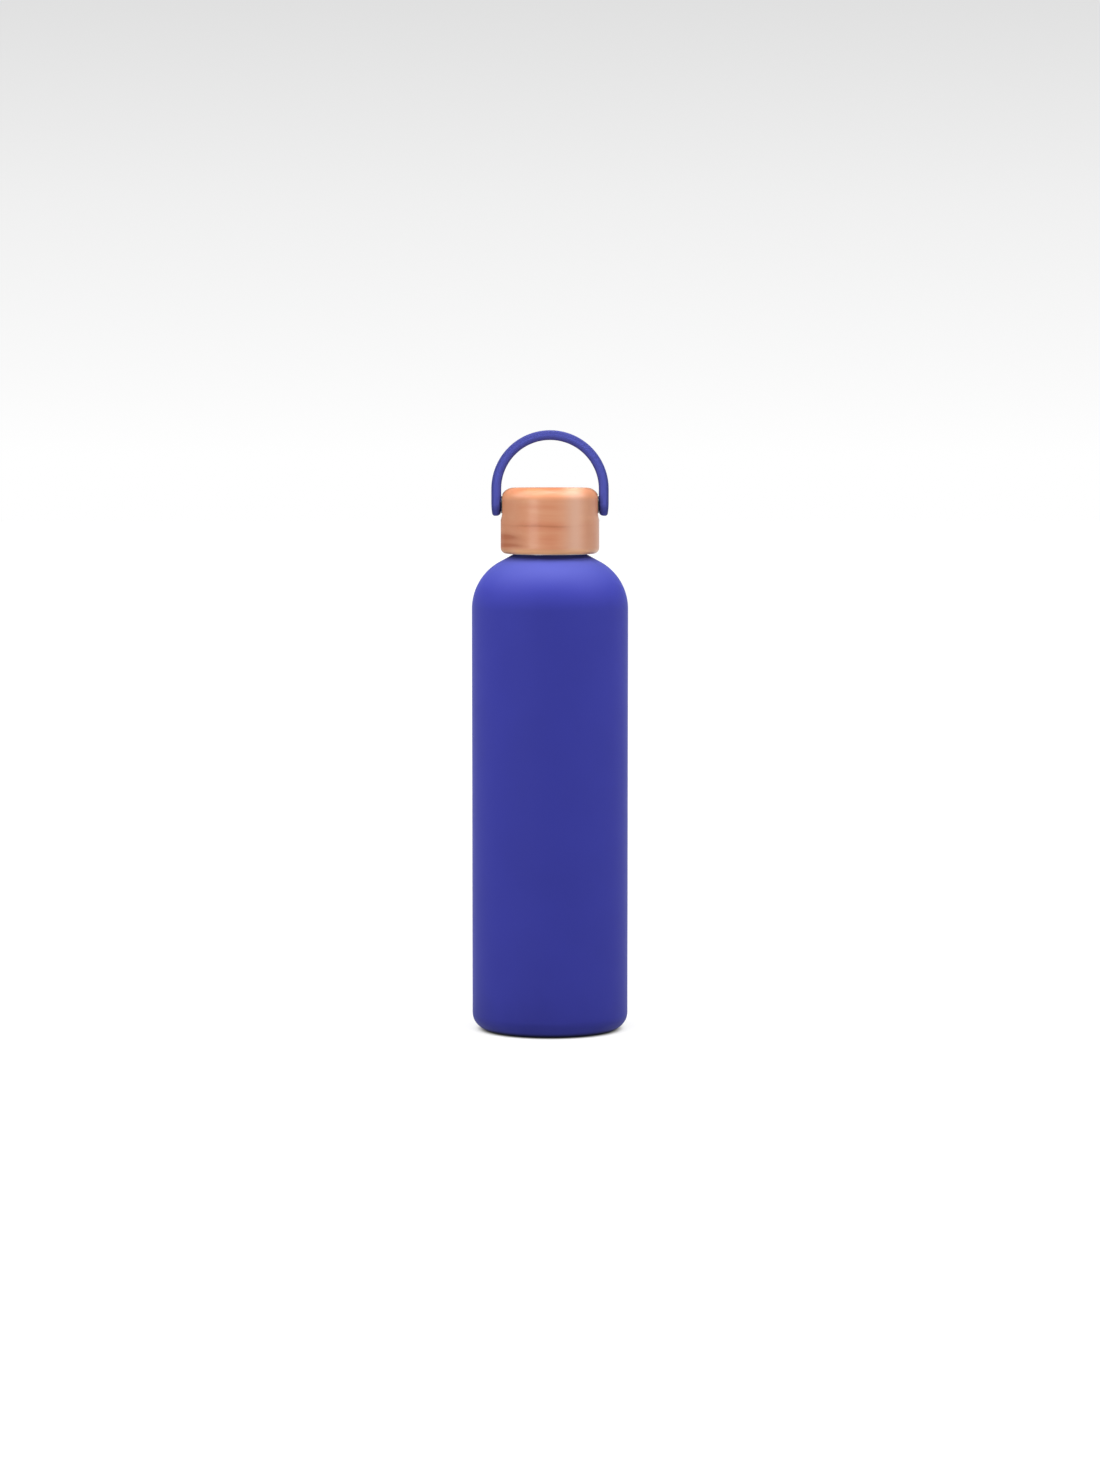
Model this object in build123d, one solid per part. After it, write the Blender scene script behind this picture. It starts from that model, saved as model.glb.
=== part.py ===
from build123d import *
from math import acos, cos, degrees, hypot, radians, sin, sqrt, tan
import os

# Double-walled vacuum bottle with a turned wooden screw cap and a swinging bail.
# Millimetres. +Z is up, the origin is the middle of the foot ring on the table,
# and the bail's pivots lie along X.

# Outer shell
body_radius = 36.5
wall_top = 197.7            # height at which the straight wall turns into the shoulder
shoulder_radius = 25.0
neck_cone_angle = 28.5      # slope, in degrees, of the straight cone from the shoulder to the neck
base_edge_radius = 8.0
outer_wall = 0.6
foot_ring_width = 3.0
foot_flange_height = 3.4    # upturned edge that the outer base is welded to

# Outer base, its evacuation dimple and what it carries
base_sheet = 0.6
base_skirt_clearance = 0.6  # the skirt's edge stays this far above the table
dimple_radius = 3.6
dimple_slope = 1.4
dimple_depth = 1.6
evacuation_radius = 0.8
seal_bead_radius = 2.6
seal_bead_height = 1.1
seal_bead_round = 0.5
plate_thickness = 0.8
plate_clearance = 0.15
getter_radius = 5.0
getter_height = 1.6
getter_sheet = 0.3
getter_fill = 0.9           # depth of the pellet in its cup

# Inner vessel
vacuum_gap = 2.7
inner_wall = 0.5
base_gap = 4.6              # from the outer base up to the inner base
inner_corner_radius = 8.0
seam_rise = 1.0             # straight wall between the corner and the vessel's edge
seam_lap = 6.0

# Neck
mouth_radius = 15.0
neck_wall = 1.5
neck_height = 14.3          # rim above the crest of the shoulder
neck_flange_width = 2.5
neck_flange_sheet = 1.3
lip_inset = 0.2
lip_round = 0.3

# Screw thread
thread_pitch = 4.0
thread_height = 1.0
thread_foot = 2.0
thread_crest = 0.9
thread_sink = 0.3
thread_margin = 2.7         # from the crest of the shoulder and from the rim
thread_clearance = 0.3

# Wooden cap
cap_radius = 23.0
crown_height = 13.35        # solid wood above the liner
cap_gap = 0.25
cap_top_round = 6.0
cap_foot_round = 2.8

# Liner, its closing disc and the seal
liner_wall = 1.5
liner_roof = 1.8
liner_setback = 0.4
plug_clearance = 0.6
plug_wall = 1.2
plug_depth = 4.0
disc_sheet = 0.6
disc_rim = 2.2
disc_setback = 0.5
seal_thickness = 2.0
seal_clearance = 0.3
liner_screw_count = 3
liner_screw_circle_radius = 7.0
liner_screw_head = 2.5
liner_screw_head_height = 1.2
liner_screw_shank = 1.25
liner_screw_length = 9.0
liner_screw_tip = 1.2
cross_width = 0.6
cross_span = 2.6
cross_depth = 0.7

# Bail and its pivots
pivot_cover = 2.0           # wood between the liner and the pivot inserts
strap_width = 10.4
strap_thickness = 4.55
strap_rise = 7.3            # from the pivot to the centre of the arch
outer_round = 1.3
inner_round = 2.2
end_lean = 0.5              # the outer face leans in by this much at the leg's end
lean_start = 1.5            # above the pivot
recess_radius = 7.2
recess_depth = 0.8
washer_radius = 4.0
washer_thickness = 0.5
washer_clearance = 0.15
side_clearance = 0.08
running_clearance = 0.06
shoulder_pin_radius = 2.0
pin_head_radius = 3.6
pin_head_height = 1.6
pin_head_inset = 0.4
socket_across = 2.5
socket_depth = 1.5
pin_thread_radius = 1.5
pin_thread_length = 8.0
insert_radius = 2.75
insert_length = 9.0
insert_flange_radius = 3.4
insert_flange = 0.6

# Worked out from the sizes above
shoulder_centre = body_radius - shoulder_radius
crest = wall_top + shoulder_radius
foot_inner = body_radius - base_edge_radius - foot_ring_width
neck_radius = mouth_radius + inner_wall + neck_wall
collar_bore = mouth_radius + inner_wall
rim = crest + neck_height
dimple_edge = dimple_radius + dimple_slope
getter_place = (dimple_edge + foot_inner - base_sheet) / 2
vessel_radius = body_radius - outer_wall - vacuum_gap
vessel_arc = shoulder_radius - outer_wall - vacuum_gap
vessel_floor = foot_flange_height + base_gap
vessel_edge = vessel_floor + inner_corner_radius + seam_rise
cone = radians(neck_cone_angle)
neck_edge = wall_top + shoulder_radius / cos(cone) - (neck_radius - shoulder_centre) * tan(cone)
neck_under = neck_edge - outer_wall / cos(cone)
cap_foot = neck_edge + cap_gap
liner_bore = neck_radius + thread_height + thread_clearance
liner_radius = liner_bore + liner_wall
liner_ceiling = rim + seal_thickness
liner_top = liner_ceiling + liner_roof
cap_top = liner_top + crown_height
plug_radius = mouth_radius - plug_clearance
disc_radius = plug_radius - plug_wall
pivot = liner_top + pivot_cover + insert_flange_radius
recess_floor = cap_radius - recess_depth
strap_inner = recess_floor + washer_thickness + side_clearance
strap_outer = strap_inner + strap_thickness
strap_half = strap_width / 2
arch_centre = pivot + strap_rise
pin_head_face = strap_outer - pin_head_inset
pin_head_foot = pin_head_face - pin_head_height


def turned(*outline):
    """Solid of revolution about Z from edges drawn as (radius, height)."""
    return revolve(Plane.XZ * make_face(list(outline)), Axis.Z)


def drum(radius, low, high):
    """Upright cylinder between two heights."""
    standing = (Align.CENTER, Align.CENTER, Align.MIN)
    return Pos(0, 0, low) * Cylinder(radius, high - low, align=standing)


def ring(inner, outer, low, high):
    """Upright tube between two heights."""
    return drum(outer, low, high) - drum(inner, low, high)


def shoulder_arc(arc_radius, sweep_angle):
    """Arc of the outer shell's shoulder, or of a vessel's inside it, up from the wall."""
    return CenterArc((shoulder_centre, wall_top), arc_radius, 0, sweep_angle)


def cone_foot(arc_radius):
    """Point where an arc of the outer shell's shoulder runs into the straight cone."""
    return (shoulder_centre + arc_radius * sin(cone), wall_top + arc_radius * cos(cone))


def dome_height(arc_radius, radius):
    """Height of the vessel's shoulder at a distance from the bottle's axis."""
    return wall_top + sqrt(arc_radius**2 - (radius - shoulder_centre) ** 2)


def dome_angle(arc_radius, radius):
    """Sweep of the vessel's shoulder up to a distance from the bottle's axis."""
    return degrees(acos((radius - shoulder_centre) / arc_radius))


def make_outer_shell():
    """Drawn tube with a domed shoulder, a cone up to the neck and a rolled-in foot ring."""
    inner_arc = shoulder_radius - outer_wall
    inner_face = body_radius - outer_wall
    edge_centre = (body_radius - base_edge_radius, base_edge_radius)
    flange = foot_inner + outer_wall
    return turned(
        Line((body_radius, wall_top), (body_radius, base_edge_radius)),
        CenterArc(edge_centre, base_edge_radius, 270, 90),
        Polyline(
            (body_radius - base_edge_radius, 0),
            (foot_inner, 0),
            (foot_inner, foot_flange_height),
            (flange, foot_flange_height),
            (flange, outer_wall),
            (body_radius - base_edge_radius, outer_wall),
        ),
        CenterArc(edge_centre, base_edge_radius - outer_wall, 270, 90),
        Line((inner_face, base_edge_radius), (inner_face, wall_top)),
        shoulder_arc(inner_arc, 90 - neck_cone_angle),
        Polyline(
            cone_foot(inner_arc),
            (neck_radius, neck_under),
            (neck_radius, neck_edge),
            cone_foot(shoulder_radius),
        ),
        shoulder_arc(shoulder_radius, 90 - neck_cone_angle),
    )


def make_outer_base():
    """Pressed pan with a down-turned skirt and a central evacuation dimple."""
    top = foot_flange_height
    under = top - base_sheet
    skirt = foot_inner - base_sheet
    return turned(
        Polyline(
            (evacuation_radius, under + dimple_depth),
            (dimple_radius, under + dimple_depth),
            (dimple_edge, under),
            (skirt, under),
            (skirt, base_skirt_clearance),
            (foot_inner, base_skirt_clearance),
            (foot_inner, top),
            (dimple_edge, top),
            (dimple_radius, top + dimple_depth),
            (evacuation_radius, top + dimple_depth),
            close=True,
        )
    )


def make_vacuum_seal():
    """Solder bead that closes the evacuation hole from below."""
    ceiling = foot_flange_height - base_sheet + dimple_depth
    bead = drum(seal_bead_radius, ceiling - seal_bead_height, ceiling)
    return fillet(bead.edges().group_by(Axis.Z)[0], seal_bead_round)


def make_base_plate():
    """Cover disc bonded under the outer base, inside its skirt."""
    top = foot_flange_height - base_sheet
    return drum(foot_inner - base_sheet - plate_clearance, top - plate_thickness, top)


def make_getter_cup():
    """Shallow cup spot-welded to the outer base, open to the vacuum."""
    floor = foot_flange_height
    cup = drum(getter_radius, floor, floor + getter_height)
    cup -= drum(getter_radius - getter_sheet, floor + getter_sheet, floor + getter_height)
    return Pos(getter_place, 0, 0) * cup


def make_getter_pellet():
    """Pellet of getter metal that keeps the vacuum, in its cup."""
    low = foot_flange_height + getter_sheet
    pellet = drum(getter_radius - getter_sheet, low, low + getter_fill)
    return Pos(getter_place, 0, 0) * pellet


def make_inner_vessel():
    """Copper vessel whose neck runs up to a lip rolled over the collar."""
    inner_face = vessel_radius - inner_wall
    inner_arc = vessel_arc - inner_wall
    lip_under = rim - inner_wall
    lip_edge = neck_radius - lip_inset
    vessel = turned(
        Polyline(
            (mouth_radius, dome_height(inner_arc, mouth_radius)),
            (mouth_radius, rim),
            (lip_edge, rim),
            (lip_edge, lip_under),
            (collar_bore, lip_under),
            (collar_bore, dome_height(vessel_arc, collar_bore)),
        ),
        shoulder_arc(vessel_arc, dome_angle(vessel_arc, collar_bore)),
        Polyline(
            (vessel_radius, wall_top),
            (vessel_radius, vessel_edge),
            (inner_face, vessel_edge),
            (inner_face, wall_top),
        ),
        shoulder_arc(inner_arc, dome_angle(inner_arc, mouth_radius)),
    )
    return fillet(vessel.edges().group_by(Axis.Z)[-1], lip_round)


def make_inner_base():
    """Copper base cup, brazed inside the open end of the vessel."""
    outer = vessel_radius - inner_wall
    corner = (outer - inner_corner_radius, vessel_floor + inner_corner_radius)
    top = vessel_edge + seam_lap
    inner = outer - inner_wall
    return turned(
        Line((0, vessel_floor), (corner[0], vessel_floor)),
        CenterArc(corner, inner_corner_radius, 270, 90),
        Polyline((outer, corner[1]), (outer, top), (inner, top), (inner, corner[1])),
        CenterArc(corner, inner_corner_radius - inner_wall, 270, 90),
        Polyline(
            (corner[0], vessel_floor + inner_wall),
            (0, vessel_floor + inner_wall),
            (0, vessel_floor),
        ),
    )


def thread_ridge(root, height, low, high):
    """Right-hand ridge on a cylinder; a negative height points it inwards."""
    inwards = -1 if height < 0 else 1
    foot = thread_foot / 2
    tip = thread_crest / 2
    sunk = root - inwards * thread_sink
    sunk_foot = foot + (foot - tip) / abs(height) * thread_sink
    section = Polyline(
        (sunk, -sunk_foot),
        (root + height, -tip),
        (root + height, tip),
        (sunk, sunk_foot),
        close=True,
    )
    helix = Helix(thread_pitch, high - low, root)
    ridge = Pos(0, 0, low) * sweep(Plane.XZ * make_face(section), path=helix, is_frenet=True)
    behind = sunk - inwards * thread_sink
    beyond = root + 2 * height
    fade = thread_pitch / 2
    band = turned(
        Polyline(
            (behind, low - fade),
            (beyond, low + fade),
            (beyond, high - fade),
            (behind, high + fade),
            close=True,
        )
    )
    return ridge & band


def make_neck_collar():
    """Threaded neck ring, brazed between the outer shell and the vessel."""
    flange = neck_radius + neck_flange_width
    flange_top = neck_under - neck_flange_width * tan(cone)
    collar = turned(
        Polyline(
            (neck_radius, neck_under),
            (flange, flange_top),
            (flange, flange_top - neck_flange_sheet),
            (collar_bore, flange_top - neck_flange_sheet),
            (collar_bore, rim - inner_wall),
            (neck_radius, rim - inner_wall),
            close=True,
        )
    )
    low_end = crest + thread_margin
    return collar + thread_ridge(neck_radius, thread_height, low_end, rim - thread_margin)


def liner_screw():
    """Countersunk screw standing on its head, which is flush at height 0."""
    return turned(
        Polyline(
            (0, 0),
            (liner_screw_head, 0),
            (liner_screw_shank, liner_screw_head_height),
            (liner_screw_shank, liner_screw_length - liner_screw_tip),
            (0, liner_screw_length),
            close=True,
        )
    )


def at_liner_screws(piece):
    """One copy of a piece at each liner screw, from the liner's ceiling up."""
    spots = PolarLocations(liner_screw_circle_radius, liner_screw_count)
    return [Pos(0, 0, liner_ceiling) * spot * piece for spot in spots]


def make_liner_screws():
    """Screws that hold the liner up into the wood, hidden by the disc."""
    slot = Pos(0, 0, cross_depth / 2) * Box(cross_span, cross_width, cross_depth)
    screw = liner_screw() - slot - Rot(0, 0, 90) * slot
    return Part() + at_liner_screws(screw)


def make_cap_liner():
    """Moulded cup with the inner thread, and a plug that enters the mouth."""
    foot = cap_foot + liner_setback
    liner = drum(liner_radius, foot, liner_top) - drum(liner_bore, foot, liner_ceiling)
    liner += ring(disc_radius, plug_radius, liner_ceiling - plug_depth, liner_ceiling)
    liner -= at_liner_screws(liner_screw())
    low_end = crest + thread_margin + thread_pitch / 2
    ridge = thread_ridge(liner_bore, -thread_height, low_end, rim - thread_margin)
    return liner + ridge


def make_liner_disc():
    """Pressed steel pan snapped into the plug, facing the drink."""
    low = liner_ceiling - plug_depth + disc_setback
    pan = drum(disc_radius, low, low + disc_rim)
    pan -= drum(disc_radius - disc_sheet, low + disc_sheet, low + disc_rim)
    return pan


def make_cap_seal():
    """Flat ring squeezed between the rim and the liner's ceiling."""
    inner = plug_radius + seal_clearance
    outer = liner_bore - seal_clearance
    return ring(inner, outer, rim, liner_ceiling)


def at_pivot(piece, side):
    """Lays a piece drawn up Z, from the cap's axis, along one pivot."""
    return Pos(0, 0, pivot) * Rot(0, 90 * side, 0) * piece


def insert_blank():
    """Outside of the threaded insert, as (radius, distance from the axis)."""
    inner_end = recess_floor - insert_length
    blank = drum(insert_radius, inner_end, recess_floor)
    return blank + drum(insert_flange_radius, recess_floor - insert_flange, recess_floor)


def make_cap_shell():
    """Turned wooden cap with a pocket, two side recesses and screw holes."""
    cap = drum(cap_radius, cap_foot, cap_top)
    cap = fillet(cap.edges().group_by(Axis.Z)[-1], cap_top_round)
    cap = fillet(cap.edges().group_by(Axis.Z)[0], cap_foot_round)
    cap -= drum(liner_radius, cap_foot, liner_top)
    cap -= at_liner_screws(liner_screw())
    for side in (-1, 1):
        cap -= at_pivot(drum(recess_radius, recess_floor, cap_radius + recess_depth), side)
        cap -= at_pivot(insert_blank(), side)
    return cap


def make_pivot_insert():
    """Brass insert in the wood that takes the pivot screw's thread."""
    inner_end = recess_floor - insert_length
    return insert_blank() - drum(pin_thread_radius, inner_end, recess_floor)


def make_washer():
    """Thin nylon washer between the wood and the bail's leg."""
    bore = shoulder_pin_radius + washer_clearance
    return ring(bore, washer_radius, recess_floor, recess_floor + washer_thickness)


def make_pivot_screw():
    """Shoulder screw with a countersunk head and a hexagon socket."""
    screw = turned(
        Polyline(
            (0, recess_floor - pin_thread_length),
            (pin_thread_radius, recess_floor - pin_thread_length),
            (pin_thread_radius, recess_floor),
            (shoulder_pin_radius, recess_floor),
            (shoulder_pin_radius, pin_head_foot),
            (pin_head_radius, pin_head_face),
            (0, pin_head_face),
            close=True,
        )
    )
    socket = RegularPolygon(socket_across / 2, 6, major_radius=False)
    return screw - Pos(0, 0, pin_head_face - socket_depth) * extrude(socket, socket_depth)


def on_strap_rim(edge):
    """True for the outline of the strap's faces, not for the lines that cross it."""
    start, end = edge @ 0, edge @ 1
    return edge.geom_type != GeomType.LINE or abs(end.Z - start.Z) > edge.length / 2


def strap_depth(edge):
    """How far an edge's middle lies from the arch's centre line."""
    middle = edge @ 0.5
    return hypot(middle.X, max(middle.Z - arch_centre, 0))


def leg_outline(side):
    """Edges of one leg's end, from the arch's inner face to its outer one."""
    end = pivot - strap_half
    lean_top = pivot + lean_start
    top = (side * strap_outer, lean_top)
    tip = (side * (strap_outer - end_lean), end)
    return [
        Line((side * strap_outer, arch_centre), top),
        TangentArc(top, tip, tangent=(0, -1)),
        Polyline(tip, (side * strap_inner, end), (side * strap_inner, arch_centre)),
    ]


def make_bail():
    """Arched strap with round leg ends, rounded edges and pivot holes."""
    arch = [
        CenterArc((0, arch_centre), strap_outer, 0, 180),
        CenterArc((0, arch_centre), strap_inner, 0, 180),
    ]
    side_view = make_face(arch + leg_outline(-1) + leg_outline(1))
    bail = extrude(Plane.XZ * side_view, strap_half, both=True)
    height = strap_rise + strap_outer
    edge_view = Circle(strap_half) + Pos(0, height / 2) * Rectangle(strap_width, height)
    bail &= Pos(0, 0, pivot) * extrude(Plane.YZ * edge_view, strap_outer, both=True)
    middle = (strap_inner + strap_outer) / 2
    rims = bail.edges().filter_by(on_strap_rim)
    bail = fillet(rims.filter_by(lambda edge: strap_depth(edge) > middle), outer_round)
    rims = bail.edges().filter_by(on_strap_rim)
    inner_rims = [edge for edge in rims if strap_depth(edge) < strap_inner + end_lean]
    bail = fillet(inner_rims, inner_round)
    bore = shoulder_pin_radius + running_clearance
    seat = turned(
        Polyline(
            (0, recess_floor),
            (bore, recess_floor),
            (bore, pin_head_foot),
            (pin_head_radius + running_clearance, pin_head_face),
            (pin_head_radius + running_clearance, strap_outer + end_lean),
            (0, strap_outer + end_lean),
            close=True,
        )
    )
    return bail - at_pivot(seat, -1) - at_pivot(seat, 1)


pieces = {
    "outer_shell": make_outer_shell(),
    "outer_base": make_outer_base(),
    "base_plate": make_base_plate(),
    "vacuum_seal": make_vacuum_seal(),
    "getter_cup": make_getter_cup(),
    "getter_pellet": make_getter_pellet(),
    "inner_vessel": make_inner_vessel(),
    "inner_base": make_inner_base(),
    "neck_collar": make_neck_collar(),
    "cap_shell": make_cap_shell(),
    "cap_liner": make_cap_liner(),
    "liner_disc": make_liner_disc(),
    "liner_screws": make_liner_screws(),
    "cap_seal": make_cap_seal(),
    "bail": make_bail(),
}
for name, side in (("left", -1), ("right", 1)):
    pieces["pivot_insert_" + name] = at_pivot(make_pivot_insert(), side)
    pieces["bail_washer_" + name] = at_pivot(make_washer(), side)
    pieces["pivot_screw_" + name] = at_pivot(make_pivot_screw(), side)

os.makedirs("parts", exist_ok=True)
for node, piece in pieces.items():
    export_step(piece, "parts/" + node + ".step")
    print(node, len(piece.solids()), round(piece.volume, 1))
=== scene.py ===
"""Finishes and modelled surfaces of an insulated bottle with a wooden cap and a swinging bail."""

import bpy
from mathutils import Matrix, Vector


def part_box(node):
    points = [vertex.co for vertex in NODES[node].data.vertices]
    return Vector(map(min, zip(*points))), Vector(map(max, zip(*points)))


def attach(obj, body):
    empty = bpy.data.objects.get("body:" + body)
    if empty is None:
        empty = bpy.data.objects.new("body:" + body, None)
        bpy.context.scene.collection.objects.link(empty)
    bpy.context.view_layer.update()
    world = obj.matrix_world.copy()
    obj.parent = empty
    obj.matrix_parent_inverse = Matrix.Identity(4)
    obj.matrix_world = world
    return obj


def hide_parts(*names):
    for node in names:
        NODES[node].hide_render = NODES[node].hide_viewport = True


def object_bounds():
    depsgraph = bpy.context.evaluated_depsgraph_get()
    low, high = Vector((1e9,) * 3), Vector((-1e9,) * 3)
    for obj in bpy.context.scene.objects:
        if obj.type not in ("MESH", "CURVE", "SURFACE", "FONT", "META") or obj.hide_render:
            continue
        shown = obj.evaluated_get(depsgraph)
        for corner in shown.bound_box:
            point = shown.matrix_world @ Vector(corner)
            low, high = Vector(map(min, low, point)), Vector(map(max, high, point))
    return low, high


bl_info = {
    "name": "Insulated Bottle",
    "version": (1, 0, 0),
    "blender": (4, 5, 0),
    "location": "View3D > Sidebar > Bottle",
    "description": "Dresses the packed bottle in its coat, wood and metals on a white studio stage",
    "category": "Add Mesh",
}

from math import cos, degrees, pi, radians, sin, tan

import bpy
import numpy as np
from bpy.props import FloatProperty, FloatVectorProperty, PointerProperty

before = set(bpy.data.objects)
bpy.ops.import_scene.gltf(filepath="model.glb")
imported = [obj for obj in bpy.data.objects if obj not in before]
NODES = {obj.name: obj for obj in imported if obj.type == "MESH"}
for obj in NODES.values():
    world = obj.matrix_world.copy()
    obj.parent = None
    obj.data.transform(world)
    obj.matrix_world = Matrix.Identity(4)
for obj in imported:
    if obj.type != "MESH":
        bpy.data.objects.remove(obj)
CAD_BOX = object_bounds()

MM = 0.001
E = 2.718  # base of the falling curve in Term.bell

# How finely the shell is cut: points on the outline's arcs, the longest pieces of its straight
# walls, and steps round the axis. Faces that meet at more than the sharp angle keep an edge.
ROLL_POINTS = 17
DOME_POINTS = 49
OUTER_WALL_STEP = 12 * MM
INNER_WALL_STEP = 24 * MM
SHELL_SEGMENTS = 288
SHARP_ANGLE = radians(35)

# Colour and roughness of each metal and of each plastic or rubber.
METALS = {
    "brushed_steel": ((0.56, 0.56, 0.57), 0.30),
    "solder": ((0.42, 0.42, 0.44), 0.50),
    "getter_metal": ((0.10, 0.10, 0.11), 0.70),
    "spun_copper": ((0.80, 0.38, 0.22), 0.26),
    "pressed_steel": ((0.58, 0.58, 0.59), 0.24),
    "screw_steel": ((0.48, 0.48, 0.49), 0.34),
    "turned_brass": ((0.75, 0.52, 0.22), 0.30),
}
PLASTICS = {
    "liner_plastic": ((0.78, 0.77, 0.74), 0.42),
    "silicone": ((0.80, 0.80, 0.80), 0.38),
    # Near-black nylon stands in for the shade in the gap between the bail and the cap.
    "nylon": ((0.016, 0.014, 0.022), 0.40),
}

# What is left of a colour where it is nearly black, in the painted shade of a screw's socket, of
# the strap beside the cap and of the coat's edge on the floor.
SHADOW = 0.1

# Depths of the finest textures, in metres.
STRAP_TEXTURE = 0.0012 * MM
WOOD_TEXTURE = 0.006 * MM
TURNING_MARKS = 0.006 * MM
MOULD_TEXTURE = 0.008 * MM

# Heights between which the coat's painted shade and light change, in millimetres: painted shade
# over the lower wall, a painted shadow at the edge that meets the floor, and painted light up to
# the neck.
FOOT_SHADE_FADE = (0.0, 45.0)
SOLE_SHADOW_FADE = (0.4, 2.6)
NECK_LIGHT_FADE = (205.0, 224.0)

# The bail's strap, in millimetres: its thickness, where the painted shade of its outer and inner
# faces sets in, measured outwards from each, and how far above the pivot the darkest part ends.
STRAP_THICKNESS = 4.55
OUTER_SHADE = (-1.7, -0.4)
INNER_SHADE = (0.1, 0.9)
PIVOT_SHADE = (0.5, 2.5)

# A screw's socket, painted dark as shade, in millimetres: where it begins below the head's face,
# and its radius.
SOCKET_DEPTH = (-0.9, -0.1)
SOCKET_RADIUS = (1.3, 1.6)

# How often each figure of the wood changes along x, y and height, per millimetre: the slow bend
# of its rings, broad bands, streaks, fibres and pores.
WANDER = (0.030, 0.05, 0.05)
BROAD = (0.02, 0.05, 0.16)
STREAKS = (0.035, 0.2, 0.40)
FIBRE = (0.06, 1.4, 1.3)
HAIR = (0.25, 6.0, 6.0)

# The growth rings' centre, under and in front of the cap's middle, in millimetres.
PITH_DEPTH = 140.0
PITH_ASIDE = 8.0

# Where the wood changes, in millimetres from the cap's axis or from its middle height.
# First the starts and ends of smooth steps, along y, then x, then z.
BACK_FADE = (2.0, 12.0)
# Where painted shade darkens the cap's left side.
LEFT_SHADE = (-22.0, -5.0)
DULL_LEFT = (-21.5, -16.0)
# Where painted shade darkens the cap's right side.
RIGHT_SHADE = (12.0, 19.0)
VEIN_END = (12.0, 24.0)
# Painted light on the rounding of the cap's foot: where it fades to the sides, and its height.
FOOT_SIDES = (180.0, 420.0)  # squares of x
FOOT_LIGHT_BAND = (-15.2, -13.2)
DULL_CROWN = (9.5, 12.5)
CROWN_FADE = (11.0, 14.5)
# Then the middles and widths of soft bands, along x and, for the foot's line of painted light, z.
BLUSH_BAND = (-0.5, 7.5)
HEART_BAND = (1.5, 6.0)
# Painted reflection of a light, right of the cap's middle.
REFLECTION_BAND = (11.6, 5.0)
# Painted light on the rounding of the cap's foot.
FOOT_LIGHT_LINE = (-13.8, 0.9)

# Stains at the cap's left: depth under the vein, half height, where they fade out, and strength.
STAINS = (
    (5.4, 1.05, (-19.5, -12.5), 0.75),
    (9.4, 0.85, (-20.5, -8.5), 0.90),
    (6.8, 3.60, (-21.0, -7.0), 0.65),
)

# The floor: how far below the bottle it lies, the radii of its first and last ring, its rings and
# spokes, the radii between which it comes to glow fully, and how wide its foot shadow's edge is.
FLOOR_GAP = 0.02 * MM
FLOOR_RADII = (0.05, 14.0)
FLOOR_RINGS = 40
FLOOR_SPOKES = 96
FLOOR_FADE = (0.3, 1.6)
SHADOW_EDGE = 5.5 * MM

# Brightness of the studio's air by the sine of the angle above the horizon.
SKY = (
    (0.0, 1.0),
    (0.022, 0.955),
    (0.068, 0.87),
    (0.120, 0.745),
    (0.20, 0.45),
    (0.36, 0.22),
    (1.0, 0.18),
)

# Softboxes: name, degrees round from the camera's side, height, distance and size in metres, and
# the stage property with their power.
SOFTBOXES = (
    ("overhead_light", 0, 1.5, 0.15, (1.6, 1.3), "overhead"),
    ("key_light", 0, 1.45, 0.15, (0.35, 0.35), "key"),
    ("high_left_light", -80, 1.3, 1.0, (1.2, 1.0), "side"),
    ("high_right_light", 80, 1.3, 1.0, (1.2, 1.0), "side"),
    ("high_front_light", 0, 1.3, 1.0, (1.2, 1.0), "front"),
    ("strip_light", -39, 0.33, 1.5, (0.55, 0.64), "strip"),
    ("fill_light", 68, 0.33, 1.5, (1.0, 0.64), "fill"),
)
SENSOR_WIDTH = 36.0  # in millimetres


# ---------------------------------------------------------------- surfaces


def arc(centre, radius, start, end, count):
    """Points (radius from the axis, height) on an arc, evenly spaced from one angle to another."""
    angle = np.radians(np.linspace(start, end, count))
    return np.stack([centre[0] + radius * np.cos(angle), centre[1] + radius * np.sin(angle)], 1)


def run(*points, step=0.004):
    """Straight runs between points, divided evenly so that no piece is longer than step."""
    made = []
    for a, b in zip(points[:-1], points[1:]):
        a, b = np.array(a, float), np.array(b, float)
        share = np.linspace(0, 1, max(1, int(np.ceil(np.linalg.norm(b - a) / step))) + 1)[:-1, None]
        made.append(a + (b - a) * share)
    return np.concatenate(made + [np.array(points[-1:], float)])


def loop(*stretches):
    """Stretches of a closed outline joined end to end, with doubled corner points dropped."""
    line = np.concatenate(stretches)
    keep = np.linalg.norm(line - np.roll(line, 1, 0), axis=1) > MM / 1000
    return line[keep]


def grid_faces(rows, columns, close_rows, close_columns):
    """Corner numbers of the quads of a grid whose points are numbered row by row."""
    i = np.arange(rows if close_rows else rows - 1)[:, None]
    j = np.arange(columns if close_columns else columns - 1)[None, :]
    next_i, next_j = (i + 1) % rows, (j + 1) % columns
    here, ahead = i * columns, next_i * columns
    quads = [here + j, ahead + j, ahead + next_j, here + next_j]
    return np.stack(np.broadcast_arrays(*quads), -1).reshape(-1, 4)


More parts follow.
